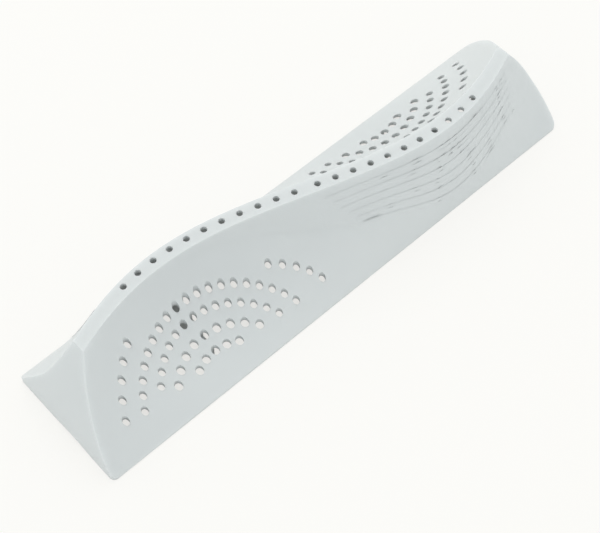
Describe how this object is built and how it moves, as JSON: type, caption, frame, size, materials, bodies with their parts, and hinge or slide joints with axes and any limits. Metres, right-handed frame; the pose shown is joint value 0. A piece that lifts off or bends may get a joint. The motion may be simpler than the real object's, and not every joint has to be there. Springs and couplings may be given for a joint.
{
  "type": "washing machine drum paddle",
  "caption": "Hollow moulded drum lifter with an S-shaped ridge, scooped flanks and fans of drain holes, open underneath.",
  "frame": {"origin": "centre of the base rim, on the plane that lies against the drum wall", "axes": "+X along the paddle, which is along the drum's axis; +Z out of the base, towards the drum's middle; +Y across the paddle"},
  "size_m": [0.28, 0.066, 0.0475],
  "materials": {
    "moulding": "satin, light grey-white"
  },
  "bodies": {
    "root": {"paddle": "moulding"}
  },
  "joints": []
}
